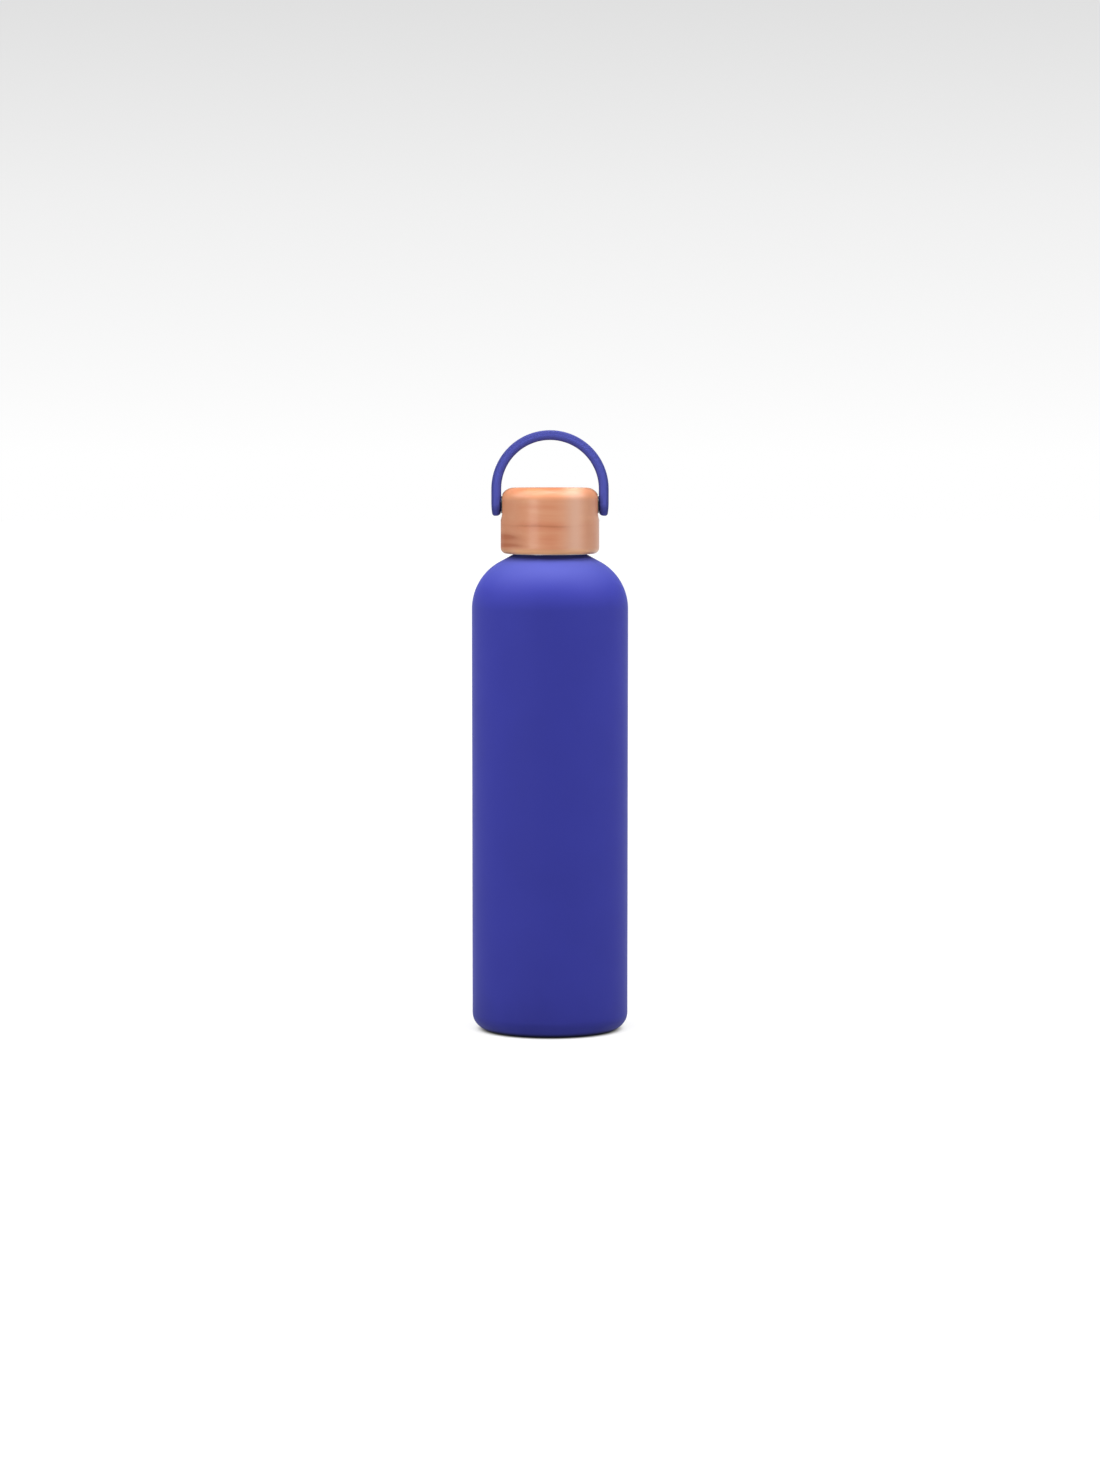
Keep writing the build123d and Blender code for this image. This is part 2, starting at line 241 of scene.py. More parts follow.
def new_piece(name, points, faces):
    """A mesh object at the origin, smooth except where its faces meet at a sharp angle."""
    mesh = bpy.data.meshes.new(name)
    mesh.vertices.add(len(points))
    mesh.vertices.foreach_set("co", points.astype(np.float32).ravel())
    mesh.loops.add(faces.size)
    mesh.loops.foreach_set("vertex_index", faces.astype(np.int32).ravel())
    mesh.polygons.add(len(faces))
    starts = np.arange(0, faces.size, faces.shape[1], dtype=np.int32)
    mesh.polygons.foreach_set("loop_start", starts)
    mesh.update(calc_edges=True)
    mesh.validate()
    mesh.shade_smooth()
    mesh.set_sharp_from_angle(angle=SHARP_ANGLE)
    piece = bpy.data.objects.new(name, mesh)
    bpy.context.scene.collection.objects.link(piece)
    return piece


def lathe(name, outline, segments):
    """Closed outline (radius, height), anticlockwise, turned about Z:
    x = radius cos a, y = radius sin a, z = height, for a all the way round."""
    angle = np.linspace(0, 2 * pi, segments, endpoint=False)[:, None]
    radius, height = outline[None, :, 0], outline[None, :, 1]
    x, y = radius * np.cos(angle), radius * np.sin(angle)
    points = np.stack(np.broadcast_arrays(x, y, height), -1)
    faces = grid_faces(segments, len(outline), True, True)
    return new_piece(name, points.reshape(-1, 3), faces)


# --------------------------------------------------------------- materials


class Term:
    """A shader value. Arithmetic on terms and numbers adds Math nodes."""

    def __init__(self, recipe, socket):
        self.recipe = recipe
        self.socket = socket

    def _math(self, operation, first, second=0.0):
        made = self.recipe.node("ShaderNodeMath", {"operation": operation}, {0: first, 1: second})
        return self.recipe.out(made, "Value")

    def __add__(self, other):
        return self._math("ADD", self, other)

    def __radd__(self, other):
        return self._math("ADD", other, self)

    def __sub__(self, other):
        return self._math("SUBTRACT", self, other)

    def __rsub__(self, other):
        return self._math("SUBTRACT", other, self)

    def __mul__(self, other):
        return self._math("MULTIPLY", self, other)

    def __rmul__(self, other):
        return self._math("MULTIPLY", other, self)

    def __truediv__(self, other):
        return self._math("DIVIDE", self, other)

    def __rpow__(self, other):
        return self._math("POWER", other, self)

    def root(self):
        """Square root."""
        return self._math("SQRT", self)

    def at_least(self, floor):
        """This value, or floor where it is less."""
        return self._math("MAXIMUM", self, floor)

    def bell(self, middle, width):
        """A smooth hump of height 1 at middle that is down to a third one width away."""
        off = (self - middle) / width
        return E ** (off * off * -1.0)

    def rise(self, start, end):
        """0 before start, 1 past end, and a smooth step between them."""
        settings = {"interpolation_type": "SMOOTHSTEP"}
        inputs = {"Value": self, "From Min": start, "From Max": end}
        return self.recipe.out(self.recipe.node("ShaderNodeMapRange", settings, inputs), "Result")


class Recipe:
    """The nodes of one material or world, with a shader and its output."""

    def __init__(self, owner, shader, output):
        owner.use_nodes = True
        self.owner = owner
        self.tree = owner.node_tree
        self.tree.nodes.clear()
        self.shader = self.node(shader, {}, {})
        end = self.node(output, {}, {})
        self.tree.links.new(self.shader.outputs[0], end.inputs["Surface"])

    def node(self, kind, settings, inputs):
        """Adds a node, sets its settings, then gives its sockets values or links."""
        made = self.tree.nodes.new(kind)
        for key, value in settings.items():
            if key == "stops":
                self._set_stops(made.color_ramp, value)
            else:
                setattr(made, key, value)
        for key, value in inputs.items():
            if isinstance(value, Term):
                self.tree.links.new(value.socket, made.inputs[key])
            else:
                made.inputs[key].default_value = value
        return made

    @staticmethod
    def _set_stops(ramp, stops):
        """Fills a colour ramp from a list of (place, colour)."""
        while len(ramp.elements) > 1:
            ramp.elements.remove(ramp.elements[-1])
        for index, (place, colour) in enumerate(stops):
            stop = ramp.elements[0] if index == 0 else ramp.elements.new(place)
            stop.position = place
            stop.color = (*colour, 1.0)

    def out(self, made, name):
        """One output of a node as a term."""
        return Term(self, made.outputs[name])

    def finish(self, **inputs):
        """Sets the shader's own sockets, named with underscores for spaces."""
        for key, value in inputs.items():
            socket = self.shader.inputs[key.replace("_", " ")]
            if isinstance(value, Term):
                self.tree.links.new(value.socket, socket)
            else:
                socket.default_value = value
        return self.owner

    def place(self, scale, location=(0.0, 0.0, 0.0)):
        """Object coordinates, scaled and then shifted."""
        coordinates = self.node("ShaderNodeTexCoord", {}, {})
        inputs = {"Vector": self.out(coordinates, "Object"), "Scale": scale, "Location": location}
        return self.out(self.node("ShaderNodeMapping", {}, inputs), "Vector")

    def place_in_mm(self, location=(0.0, 0.0, 0.0)):
        """Object coordinates in millimetres."""
        return self.place((1 / MM,) * 3, location)

    def split(self, vector):
        """The x, y and z of a vector as three terms."""
        made = self.node("ShaderNodeSeparateXYZ", {}, {0: vector})
        return [self.out(made, axis) for axis in "XYZ"]

    def join(self, x, y, z):
        """A vector from three terms or numbers."""
        return self.out(self.node("ShaderNodeCombineXYZ", {}, {0: x, 1: y, 2: z}), "Vector")

    def noise(self, vector, scale=1.0, detail=2.0, roughness=0.5):
        """Soft noise from 0 to 1."""
        inputs = {"Vector": vector, "Scale": scale, "Detail": detail, "Roughness": roughness}
        return self.out(self.node("ShaderNodeTexNoise", {}, inputs), "Fac")

    def bands(self, along, scale=1.0, detail=2.0):
        """Noise that changes only along one term, as bands of uneven width."""
        inputs = {"W": along, "Scale": scale, "Detail": detail}
        return self.out(self.node("ShaderNodeTexNoise", {"noise_dimensions": "1D"}, inputs), "Fac")

    def ramp(self, factor, stops):
        """Colour that runs through stops as a factor goes from 0 to 1."""
        return self.out(self.node("ShaderNodeValToRGB", {"stops": stops}, {"Fac": factor}), "Color")

    def blend(self, share, first, second):
        """Colour that runs from first to second as a share goes from 0 to 1."""
        made = self.node("ShaderNodeMix", {"data_type": "RGBA"}, {0: share, 6: first, 7: second})
        return Term(self, made.outputs[2])

    def bump(self, height, distance):
        """Normal from a height between 0 and 1 that stands for distance metres."""
        inputs = {"Height": height, "Distance": distance, "Strength": 1.0}
        return self.out(self.node("ShaderNodeBump", {}, inputs), "Normal")


def new_material(name):
    """An empty Principled material to fill in."""
    material = bpy.data.materials.new(name)
    return Recipe(material, "ShaderNodeBsdfPrincipled", "ShaderNodeOutputMaterial")


def shade(colour, share):
    """A colour made lighter or darker by a share."""
    return tuple(min(1.0, channel * share) for channel in colour)


def coat_material(props):
    """Matte powder coat with fine orange peel and faint mottling, with painted light towards the
    neck, painted shade over the lower wall and a painted near-black shadow at the edge on the
    floor."""
    recipe = new_material("powder_coat")
    here = recipe.place_in_mm()
    z = recipe.split(here)[2]
    # Painted shade: the coat darkens towards the floor.
    foot = 1.0 - z.rise(*FOOT_SHADE_FADE)
    peel = recipe.noise(here, 1.6, 2.0)
    grit = recipe.noise(here, 5.5, 2.0)
    cloud = recipe.noise(here, 0.035, 2.0)
    colour = tuple(props.coat_colour)
    tint = recipe.ramp(
        cloud * 0.7 + grit * 0.3 - foot * 0.4,
        [(0.0, shade(colour, 0.84)), (0.3, shade(colour, 0.965)), (0.7, shade(colour, 1.035))],
    )
    # Painted light: paler towards the neck, where the shoulder takes the light from above.
    neck = z.rise(*NECK_LIGHT_FADE) * 0.9
    # Painted shadow: near black at the edge that meets the floor.
    sole_shadow = (1.0 - z.rise(*SOLE_SHADOW_FADE)) * 0.95
    paler = recipe.blend(neck, tint, (*props.neck_light_colour, 1.0))
    return recipe.finish(
        Base_Color=recipe.blend(sole_shadow, paler, (*shade(colour, SHADOW), 1.0)),
        Roughness=props.coat_roughness + (grit - 0.5) * 0.12,
        Normal=recipe.bump(peel * 0.6 + grit * 0.4, props.peel_depth),
        Specular_IOR_Level=0.05,
        Sheen_Weight=0.05,
        Sheen_Roughness=0.3,
        Sheen_Tint=(0.35, 0.45, 1.0, 1.0),
    )


def strap_material(props, reach, middle, pivot):
    """Matte moulded strap with a very fine texture and painted shade: darker on its outer face, a
    little so on its inner face, and most where that lies against the cap. reach is the outer radius
    of its arch, middle the height of the arch's centre and pivot that of the screws."""
    recipe = new_material("moulded_strap")
    here = recipe.place_in_mm()
    x, _, z = recipe.split(here)
    over = (z - middle / MM).at_least(0.0)
    from_centre = (x * x + over * over).root()
    outer_face = reach / MM
    inner_face = outer_face - STRAP_THICKNESS
    # Painted shade on the strap's outer and inner faces, darkest where the inner face lies beside
    # the cap.
    outer = from_centre.rise(outer_face + OUTER_SHADE[0], outer_face + OUTER_SHADE[1])
    inner = 1.0 - from_centre.rise(inner_face + INNER_SHADE[0], inner_face + INNER_SHADE[1])
    shade_beside_cap = 1.0 - z.rise(pivot / MM + PIVOT_SHADE[0], pivot / MM + PIVOT_SHADE[1])
    strap_shade = outer * 0.55 + inner * (0.3 + shade_beside_cap * 0.6)
    grain = recipe.noise(here, 3.0, 2.0)
    flow = recipe.noise(here, 0.12, 3.0)
    colour = tuple(props.strap_colour)
    tint = recipe.ramp(flow, [(0.3, shade(colour, 0.98)), (0.7, shade(colour, 1.02))])
    return recipe.finish(
        Base_Color=recipe.blend(strap_shade, tint, (*shade(colour, SHADOW), 1.0)),
        Roughness=0.55 + (grain - 0.5) * 0.10,
        Normal=recipe.bump(grain, STRAP_TEXTURE),
        Specular_IOR_Level=0.06,
        Sheen_Weight=0.03,
        Sheen_Roughness=0.3,
        Sheen_Tint=(0.6, 0.6, 1.0, 1.0),
    )


def wood_material(props, middle):
    """Lacquered wood with its grain along X. Its colour goes by the height above the cap's middle,
    bent into growth rings about a line far below, and a vein, stains and a pale band lie over it,
    with a painted reflection right of the middle, painted shade at the sides and painted light on
    the rounding of the foot."""
    recipe = new_material("lacquered_wood")
    x, y, z = recipe.split(recipe.place_in_mm((0.0, 0.0, -middle / MM)))

    def grain(often, height, *detail):
        """Noise drawn out along X; often is how often it changes along x, y and height."""
        where = recipe.join(x * often[0], y * often[1], height * often[2])
        return recipe.noise(where, 1.0, *detail)

    wander = grain(WANDER, z, 1.0)
    below = z + PITH_DEPTH
    aside = y + PITH_ASIDE
    height = (below * below + aside * aside).root() - PITH_DEPTH
    level = height + (wander - 0.5) * 2.0
    broad = grain(BROAD, level, 1.0)
    streaks = grain(STREAKS, level, 1.0)
    fibre = grain(FIBRE, level, 2.0, 0.5)
    hair = grain(HAIR, z, 2.0, 0.6)
    front = 1.0 - y.rise(*BACK_FADE)
    figure = broad * 0.46 + streaks * 0.40 + fibre * 0.14
    tone = figure + (figure - 0.5) * (1.0 - front) * 0.9

    vein = props.vein / MM
    line = level.bell(vein, 0.45) * 0.16 + level.bell(vein + 0.2, 1.7) * 0.20
    short = line * (1.0 - x.rise(*VEIN_END) * front)
    blush = level.bell(vein - 6.6, 2.8) * x.bell(*BLUSH_BAND) * 0.22
    heart = x.bell(*HEART_BAND) * 0.08
    pores = hair.rise(0.60, 0.74) * 0.04
    crown = z.rise(*CROWN_FADE) * 0.28
    pale = (1.0 - level.rise(vein - 12.4, vein - 9.4)) * 0.10
    dark = short + (blush + heart) * front + pores + crown - pale
    tint = recipe.ramp(
        tone - dark + 0.06,
        [
            (0.05, tuple(props.wood_dark)),
            (0.36, tuple(props.wood_middle)),
            (0.66, tuple(props.wood_light)),
            (1.0, shade(props.wood_light, 1.45)),
        ],
    )

    # Painted reflection of a light, right of the middle.
    painted_reflection = x.bell(*REFLECTION_BAND) * front * 0.9
    # Painted shade towards the cap's sides.
    side_shade = (1.0 - x.rise(*LEFT_SHADE)) + x.rise(*RIGHT_SHADE)
    stain = 0.0
    for depth, half_height, fade, strength in STAINS:
        stain += level.bell(vein - depth, half_height) * strength * (1.0 - x.rise(*fade))
    # Painted light on the rounding of the foot, weaker at the sides and the back.
    foot = (1.0 - z.rise(*FOOT_LIGHT_BAND)) * 0.75 + z.bell(*FOOT_LIGHT_LINE) * 0.28
    centred = 1.0 - (x * x).rise(*FOOT_SIDES) * 0.6
    with_reflection = recipe.blend(painted_reflection, tint, (*props.wood_reflection, 1.0))
    with_side_shade = recipe.blend(side_shade * front * 0.66, with_reflection, (*props.wood_side_shade, 1.0))
    stained = recipe.blend(stain * front, with_side_shade, (*shade(props.wood_dark, 0.88), 1.0))
    paler = foot * centred * (0.25 + front * 0.75)

    dull = (1.0 - x.rise(*DULL_LEFT)) * front
    polish = (1.0 - z.rise(*DULL_CROWN) * 0.65) * (1.0 - dull * 0.7)
    return recipe.finish(
        Base_Color=recipe.blend(paler, stained, (*props.wood_foot_light, 1.0)),
        Roughness=0.5 + (fibre - 0.5) * 0.16,
        Normal=recipe.bump(fibre * 0.6 + hair * 0.4, WOOD_TEXTURE),
        Coat_Weight=polish,
        Coat_Roughness=0.30,
        Coat_IOR=1.42,
        Specular_IOR_Level=0.0,
    )


def turned_metal(name, pivot=None, face=None):
    """Metal with fine rings left by turning, round the bottle's axis or round a pivot along X.
    pivot is the pivot's height, and face how far out a screw's head is over its socket, which is
    painted dark as shade."""
    colour, roughness = METALS[name]
    recipe = new_material(name)
    here = recipe.place_in_mm()
    x, y, z = recipe.split(here)
    along, across, aside = (z, x, y) if pivot is None else (x, y, z - pivot / MM)
    radius = (across * across + aside * aside).root()
    rings = recipe.bands(radius + along * 1.3, 3.0, 3.0)
    smudge = recipe.noise(here, 0.25, 3.0)
    tone = rings * 0.5 + smudge * 0.5
    tint = recipe.ramp(tone, [(0.3, shade(colour, 0.90)), (0.7, shade(colour, 1.06))])
    if face is not None:
        # Painted shade: the socket is near black.
        out = (x * x).root()
        deep = 1.0 - out.rise(face / MM + SOCKET_DEPTH[0], face / MM + SOCKET_DEPTH[1])
        socket = deep * (1.0 - radius.rise(*SOCKET_RADIUS))
        tint = recipe.blend(socket * 0.9, tint, (*shade(colour, SHADOW), 1.0))
    return recipe.finish(
        Base_Color=tint,
        Metallic=1.0,
        Roughness=roughness + (rings - 0.5) * 0.12 + (smudge - 0.5) * 0.08,
        Normal=recipe.bump(rings, TURNING_MARKS),
    )


def moulded(name):
    """Moulded plastic or rubber with faint flow marks and a fine texture."""
    colour, roughness = PLASTICS[name]
    recipe = new_material(name)
    here = recipe.place_in_mm()
    flow = recipe.noise(here, 0.2, 3.0)
    texture = recipe.noise(here, 4.0, 2.0)
    tint = recipe.ramp(flow, [(0.3, shade(colour, 0.96)), (0.7, shade(colour, 1.03))])
    return recipe.finish(
        Base_Color=tint,
        Roughness=roughness + (texture - 0.5) * 0.1,
        Normal=recipe.bump(texture, MOULD_TEXTURE),
    )


def dress(names, material):
    """Gives CAD nodes a material in their own slots."""
    for name in names:
        for slot in NODES[name].material_slots:
            slot.link = "DATA"
            slot.material = material


def add_piece(piece, body, slot, material, *replaced):
    """Puts a new piece on its body, in its material, in place of CAD nodes. slot is not used."""
    piece.data.materials.append(material)
    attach(piece, body)
    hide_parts(*replaced)


# -------------------------------------------------------------- properties


class ShellProperties(bpy.types.PropertyGroup):
    """Outer shell and its coat."""

    shoulder_radius: FloatProperty(
        name="Shoulder radius",
        description="Radius of the domed shoulder's arc",
        default=25.0 * MM,
        min=5.0 * MM,
        unit="LENGTH",
    )
    cone_angle: FloatProperty(
        name="Cone angle",
        description="Slope of the straight cone between the shoulder's arc and the neck",
        default=radians(28.5),
        subtype="ANGLE",
    )
    base_edge_radius: FloatProperty(
        name="Base edge radius",
        description="Radius of the rolled edge at the foot",
        default=8.0 * MM,
        min=1.0 * MM,
        unit="LENGTH",
    )
    wall: FloatProperty(
        name="Wall",
        description="Thickness of the coated sheet",
        default=0.6 * MM,
        min=0.2 * MM,
        unit="LENGTH",
    )
    foot_ring: FloatProperty(
        name="Foot ring",
        description="Width of the flat ring the bottle stands on",
        default=3.0 * MM,
        min=0.5 * MM,
        unit="LENGTH",
    )
    neck_flange: FloatProperty(
        name="Neck flange",
        description="How far the neck ring's flange reaches out under the shell",
        default=2.5 * MM,
        min=0.5 * MM,
        unit="LENGTH",
    )
    flange: FloatProperty(
        name="Foot flange",
        description="Height of the upturned edge inside the foot",
        default=3.4 * MM,
        min=1.0 * MM,
        unit="LENGTH",
    )
    coat_colour: FloatVectorProperty(
        name="Coat colour",
        description="Colour of the powder coat",
        subtype="COLOR",
        size=3,
        default=(0.0212, 0.0238, 0.175),
        min=0.0,
        max=1.0,
    )
    # Painted light: the paler coat round the neck stands for the light on the shoulder.
    neck_light_colour: FloatVectorProperty(
        name="Colour at the neck",
        description="Slightly paler colour of the powder coat round the neck",
        subtype="COLOR",
        size=3,
        default=(0.0400, 0.0465, 0.192),
        min=0.0,
        max=1.0,
    )
    coat_roughness: FloatProperty(
        name="Coat roughness",
        description="How matte the powder coat is",
        subtype="FACTOR",
        default=0.52,
        min=0.0,
        max=1.0,
    )
    peel_depth: FloatProperty(
        name="Orange peel",
        description="Depth of the coat's fine unevenness",
        default=0.012 * MM,
        min=0.0,
        unit="LENGTH",
        precision=6,
    )


class CapProperties(bpy.types.PropertyGroup):
    """Wooden cap."""

    # Painted light: the pale wood on the rounding of the cap's foot stands for light there.
    wood_foot_light: FloatVectorProperty(
        name="Pale wood",
        description="Colour of the palest wood, at the foot of the cap",
        subtype="COLOR",
        size=3,
        default=(0.860, 0.450, 0.185),
        min=0.0,
        max=1.0,
    )
    # Painted shade: the browner wood at the cap's sides stands for shade there.
    wood_side_shade: FloatVectorProperty(
        name="Tan wood",
        description="Colour of the browner wood towards the cap's sides",
        subtype="COLOR",
        size=3,
        default=(0.230, 0.102, 0.055),
        min=0.0,
        max=1.0,
    )
    # Painted reflection: the greyer wood right of the cap's middle stands for a light's reflection.
    wood_reflection: FloatVectorProperty(
        name="Silvered wood",
        description="Colour of the greyer wood towards the right of the cap",
        subtype="COLOR",
        size=3,
        default=(0.340, 0.190, 0.128),
        min=0.0,
        max=1.0,
    )
    wood_light: FloatVectorProperty(
        name="Light wood",
        description="Colour of the wood's lightest bands",
        subtype="COLOR",
        size=3,
        default=(0.364, 0.168, 0.090),
        min=0.0,
        max=1.0,
    )
    wood_middle: FloatVectorProperty(
        name="Middle wood",
        description="Colour of most of the wood",
        subtype="COLOR",
        size=3,
        default=(0.330, 0.126, 0.062),
        min=0.0,
        max=1.0,
    )
    wood_dark: FloatVectorProperty(
        name="Dark wood",
        description="Colour of the darkest streaks",
        subtype="COLOR",
        size=3,
        default=(0.225, 0.068, 0.028),
        min=0.0,
        max=1.0,
    )
    vein: FloatProperty(
        name="Vein",
        description="Height of the thin dark growth line above the cap's middle",
        default=-1.8 * MM,
        unit="LENGTH",
    )


class BailProperties(bpy.types.PropertyGroup):
    """Bail handle."""

    strap_colour: FloatVectorProperty(
        name="Strap colour",
        description="Colour of the moulded strap",
        subtype="COLOR",
        size=3,
        default=(0.0435, 0.0500, 0.232),
        min=0.0,
        max=1.0,
    )


class StageProperties(bpy.types.PropertyGroup):
    """Camera and light."""

    distance: FloatProperty(
        name="Camera distance",
        description="From the bottle's axis to the camera, along the floor",
        default=1.765,
        min=0.3,
        unit="LENGTH",
    )
    height: FloatProperty(
        name="Camera height",
        description="Height of the camera above the floor",
        default=0.2685,
        min=0.0,
        unit="LENGTH",
    )
    pitch: FloatProperty(
        name="Camera pitch",
        description="How far the camera looks down",
        default=radians(4.19),
        subtype="ANGLE",
    )
    lens: FloatProperty(
        name="Lens",
        description="Focal length on a 36 mm long side",
        default=92.7,
        min=10.0,
        unit="CAMERA",
    )
    overhead: FloatProperty(
        name="Overhead light",
        description="Power of the softbox above the bottle",
        default=42.0,
        min=0.0,
        unit="POWER",
    )
    key: FloatProperty(
        name="Key light",
        description="Power of the small softbox just under the overhead one",
        default=9.0,
        min=0.0,
        unit="POWER",
    )
    side: FloatProperty(
        name="High side lights",
        description="Power of the softboxes high on the left and right",
        default=26.0,
        min=0.0,
        unit="POWER",
    )
    front: FloatProperty(
        name="High front light",
        description="Power of the softbox high above the camera",
        default=4.0,
        min=0.0,
        unit="POWER",
    )
    strip: FloatProperty(
        name="Left strip light",
        description="Power of the tall strip light at the front left",
        default=4.3,
        min=0.0,
        unit="POWER",
    )
    fill: FloatProperty(
        name="Right soft light",
        description="Power of the broad light at the right",
        default=1.8,
        min=0.0,
        unit="POWER",
    )
    floor_albedo: FloatProperty(
        name="Floor albedo",
        description="Share of the light that the floor sends back, which sets the shadow's depth",
        subtype="FACTOR",
        default=0.2,
        min=0.0,
        max=1.0,
    )
    foot_shadow: FloatProperty(
        name="Foot shadow",
        description="Radius under the foot inside which the floor has no brightness of its own",
        default=29.8 * MM,
        min=0.0,
        unit="LENGTH",
    )
    floor_glow: FloatProperty(
        name="Floor glow",
        description="Brightness that the floor has of its own near the bottle",
        default=0.60,
        min=0.0,
    )


# --------------------------------------------------------------- operators


def shell_outline(props):
    """Outline of the outer shell's sheet, up its outer face from the foot ring and down its inner
    one. The outer face is a flat ring, a quarter circle, a straight wall, an arc and a cone."""
    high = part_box("outer_shell")[1]
    radius = high.x
    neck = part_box("neck_collar")[1].x - props.neck_flange
    wall, edge, shoulder = props.wall, props.base_edge_radius, props.shoulder_radius
    cone, flange = props.cone_angle, props.flange
    centre = radius - shoulder
    flat = radius - edge
    inner = flat - props.foot_ring
    # The straight wall ends where the arc and the cone above it just reach the neck's edge.
    top = high.z - shoulder / cos(cone) + (neck - centre) * tan(cone)
    sweep = 90 - degrees(cone)
    lip = (inner + wall, wall), (inner + wall, flange), (inner, flange), (inner, 0.0)
    return loop(
        run((inner, 0.0), (flat, 0.0), step=MM),
        arc((flat, edge), edge, -90, 0, ROLL_POINTS),
        run((radius, edge), (radius, top), step=OUTER_WALL_STEP),
        arc((centre, top), shoulder, 0, sweep, DOME_POINTS),
        run((neck, high.z), (neck, high.z - wall / cos(cone)), step=MM),
        arc((centre, top), shoulder - wall, sweep, 0, DOME_POINTS // 2 + 1),
        run((radius - wall, top), (radius - wall, edge), step=INNER_WALL_STEP),
        arc((flat, edge), edge - wall, 0, -90, ROLL_POINTS // 2 + 1),
        run((flat, wall), *lip),
    )


class BOTTLE_OT_shell(bpy.types.Operator):
    """Add the coated outer shell and dress the base under it"""

    bl_idname = "bottle.shell"
    bl_label = "Outer Shell"

    def execute(self, context):
        props = context.scene.bottle_shell
        coat = coat_material(props)
        shell = lathe("coated_shell", shell_outline(props), SHELL_SEGMENTS)
        add_piece(shell, "bottle", "blue_coat", coat, "outer_shell")
        steel = turned_metal("brushed_steel")
        dress(("outer_base", "base_plate", "getter_cup", "neck_collar"), steel)
        dress(("vacuum_seal",), turned_metal("solder"))
        dress(("getter_pellet",), turned_metal("getter_metal"))
        return {"FINISHED"}


class BOTTLE_OT_vessel(bpy.types.Operator):
    """Dress the copper vessel inside"""

    bl_idname = "bottle.vessel"
    bl_label = "Copper Vessel"

    def execute(self, context):
        dress(("inner_vessel", "inner_base"), turned_metal("spun_copper"))
        return {"FINISHED"}


class BOTTLE_OT_cap(bpy.types.Operator):
    """Dress the wooden cap, its liner and its seal"""

    bl_idname = "bottle.cap"
    bl_label = "Cap"

    def execute(self, context):
        props = context.scene.bottle_cap
        low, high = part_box("cap_shell")
        dress(("cap_shell",), wood_material(props, (low.z + high.z) / 2))
        dress(("cap_liner",), moulded("liner_plastic"))
        dress(("cap_seal",), moulded("silicone"))
        dress(("liner_disc", "liner_screws"), turned_metal("pressed_steel"))
        return {"FINISHED"}


class BOTTLE_OT_bail(bpy.types.Operator):
    """Dress the bail and its pivots"""

    bl_idname = "bottle.bail"
    bl_label = "Bail"

    def execute(self, context):
        props = context.scene.bottle_bail
        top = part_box("bail")[1]
        low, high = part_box("pivot_screw_right")
        pivot = (low.z + high.z) / 2
        dress(("bail",), strap_material(props, top.x, top.z - top.x, pivot))
        steel = turned_metal("screw_steel", pivot, high.x)
        dress(("pivot_screw_left", "pivot_screw_right"), steel)
        dress(("bail_washer_left", "bail_washer_right"), moulded("nylon"))
        brass = turned_metal("turned_brass", pivot)
        dress(("pivot_insert_left", "pivot_insert_right"), brass)
        return {"FINISHED"}


def add_floor(props):
    """A round white floor: x = r cos a, y = r sin a, z = just under 0. It has a faint glow of its
    own near the bottle, none inside the foot shadow and all of it far off."""
    radius = np.concatenate([[0.0], np.geomspace(*FLOOR_RADII, FLOOR_RINGS)])[:, None]
    angle = np.linspace(0, 2 * pi, FLOOR_SPOKES, endpoint=False)[None, :]
    x, y = radius * np.cos(angle), radius * np.sin(angle)
    points = np.stack(np.broadcast_arrays(x, y, -FLOOR_GAP), -1).reshape(-1, 3)
    floor = new_piece("floor", points, grid_faces(len(radius), FLOOR_SPOKES, False, True))
    recipe = new_material("white_floor")
    x, y = recipe.split(recipe.place((1.0, 1.0, 1.0)))[:2]
    radius = (x * x + y * y).root()
    away = radius.rise(*FLOOR_FADE)
    outside = radius.rise(props.foot_shadow, props.foot_shadow + SHADOW_EDGE)
    near = 0.1
    stops = [(0.0, (0.0,) * 3), (near, (props.floor_glow,) * 3), (1.0, (1.0,) * 3)]
    material = recipe.finish(
        Base_Color=(*(props.floor_albedo,) * 3, 1.0),
        Roughness=0.9,
        Specular_IOR_Level=0.0,
        Emission_Color=recipe.ramp(away * (1.0 - near) + outside * near, stops),
        Emission_Strength=1.0,
    )
    floor.data.materials.append(material)


def add_world():
    """White studio air that greys with height above the horizon."""
    world = bpy.data.worlds.new("studio")
    bpy.context.scene.world = world
    recipe = Recipe(world, "ShaderNodeBackground", "ShaderNodeOutputWorld")
    coordinates = recipe.node("ShaderNodeTexCoord", {}, {})
    up = recipe.split(recipe.out(coordinates, "Generated"))[2]
    sky = recipe.ramp(up, [(place, (grey,) * 3) for place, grey in SKY])
    recipe.finish(Color=sky, Strength=1.0)


def add_softbox(name, azimuth, height, distance, size, power):
    """A rectangular light that stands round the bottle and faces its middle. azimuth is in degrees
    from the camera's side."""
    light = bpy.data.lights.new(name, "AREA")
    light.shape = "RECTANGLE"
    light.size, light.size_y = size
    light.energy = power
    lamp = bpy.data.objects.new(name, light)
    turn = radians(azimuth)
    lamp.location = (distance * sin(turn), -distance * cos(turn), height)
    lamp.visible_camera = False
    bpy.context.scene.collection.objects.link(lamp)
    target = (CAD_BOX[0] + CAD_BOX[1]) / 2
    lamp.rotation_mode = "QUATERNION"
    lamp.rotation_quaternion = (target - lamp.location).to_track_quat("-Z", "Y")


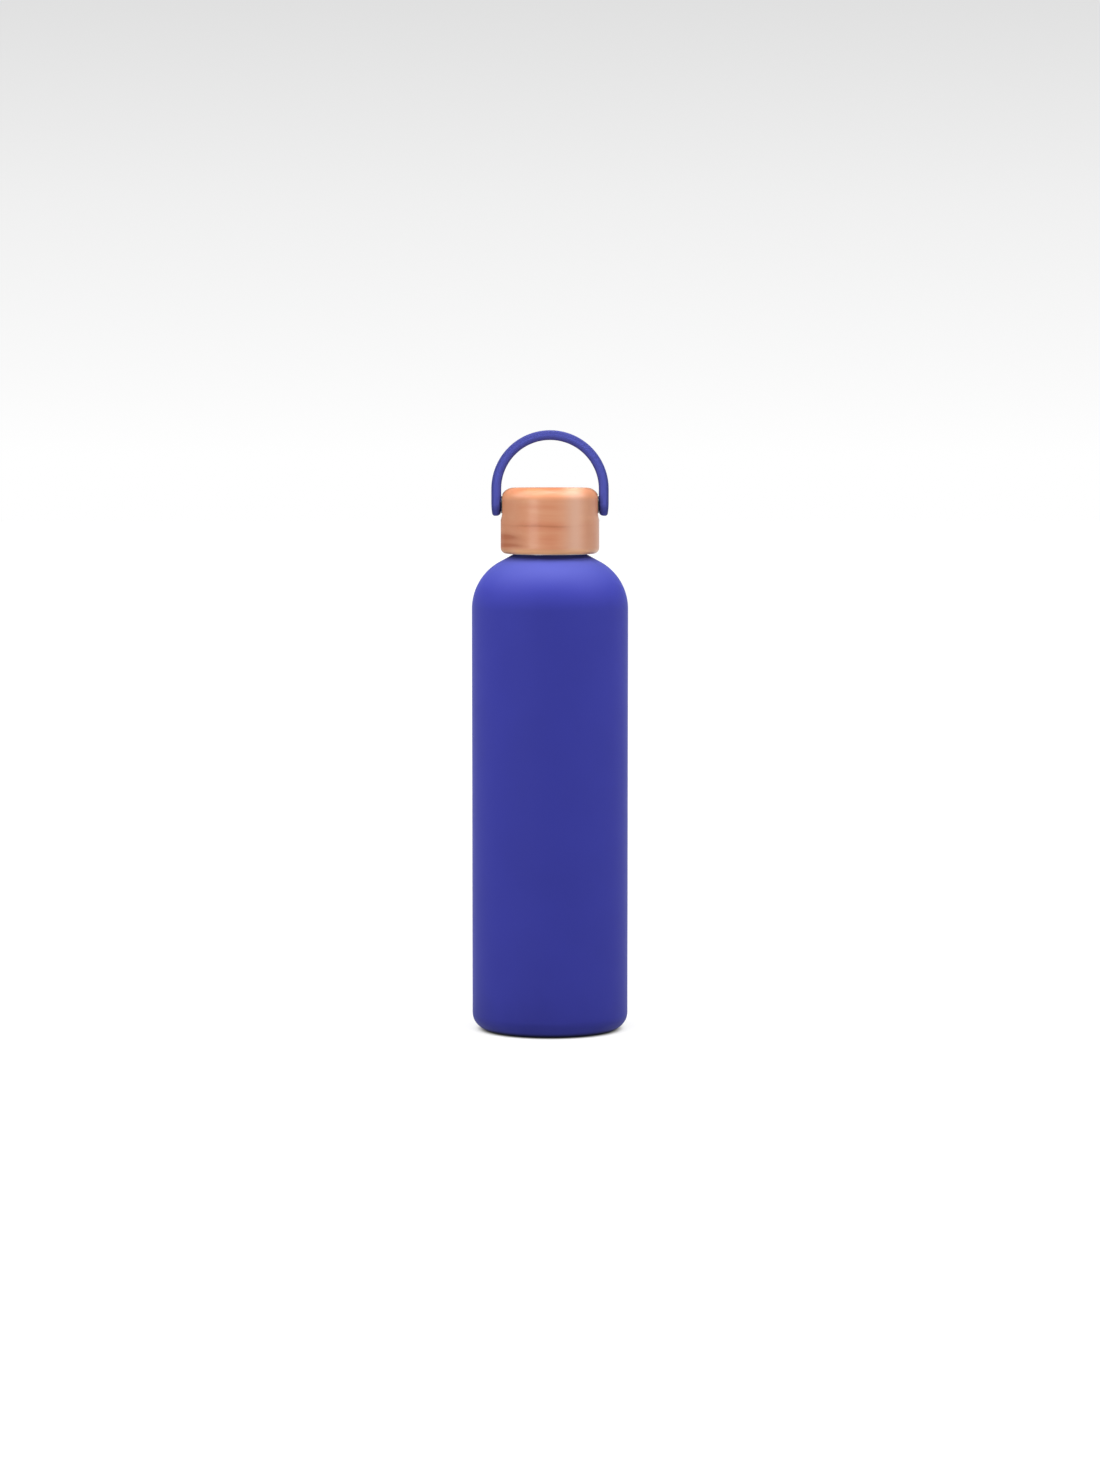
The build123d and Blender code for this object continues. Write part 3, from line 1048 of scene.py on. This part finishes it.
class BOTTLE_OT_stage(bpy.types.Operator):
    """Add the floor, the light and the camera"""

    bl_idname = "bottle.stage"
    bl_label = "Stage"

    def execute(self, context):
        props = context.scene.bottle_stage
        context.scene.view_settings.view_transform = "Standard"
        add_floor(props)
        add_world()
        for *setting, power in SOFTBOXES:
            add_softbox(*setting, getattr(props, power))
        camera = bpy.data.objects.new("camera", bpy.data.cameras.new("camera"))
        context.scene.collection.objects.link(camera)
        camera.data.lens = props.lens
        camera.data.sensor_width = SENSOR_WIDTH
        camera.location = (0.0, -props.distance, props.height)
        camera.rotation_euler = (pi / 2 - props.pitch, 0.0, 0.0)
        context.scene.camera = camera
        return {"FINISHED"}


class BOTTLE_PT_panel(bpy.types.Panel):
    """Sizes, colours and steps of the bottle"""

    bl_idname = "BOTTLE_PT_panel"
    bl_label = "Insulated Bottle"
    bl_space_type = "VIEW_3D"
    bl_region_type = "UI"
    bl_category = "Bottle"

    def draw(self, context):
        for group, operator in STEPS:
            box = self.layout.box()
            if group:
                props = getattr(context.scene, group)
                for name in props.__annotations__:
                    box.prop(props, name)
            box.operator(operator)


STEPS = (
    ("bottle_shell", "bottle.shell"),
    (None, "bottle.vessel"),
    ("bottle_cap", "bottle.cap"),
    ("bottle_bail", "bottle.bail"),
    ("bottle_stage", "bottle.stage"),
)
GROUPS = {
    "bottle_shell": ShellProperties,
    "bottle_cap": CapProperties,
    "bottle_bail": BailProperties,
    "bottle_stage": StageProperties,
}
CLASSES = (
    *GROUPS.values(),
    BOTTLE_OT_shell,
    BOTTLE_OT_vessel,
    BOTTLE_OT_cap,
    BOTTLE_OT_bail,
    BOTTLE_OT_stage,
    BOTTLE_PT_panel,
)


def register():
    for cls in CLASSES:
        bpy.utils.register_class(cls)
    for name, group in GROUPS.items():
        setattr(bpy.types.Scene, name, PointerProperty(type=group))


def unregister():
    for name in GROUPS:
        delattr(bpy.types.Scene, name)
    for cls in reversed(CLASSES):
        bpy.utils.unregister_class(cls)


def main():
    register()
    bpy.ops.bottle.shell()
    bpy.ops.bottle.vessel()
    bpy.ops.bottle.cap()
    bpy.ops.bottle.bail()
    bpy.ops.bottle.stage()


if __name__ == "__main__":
    main()
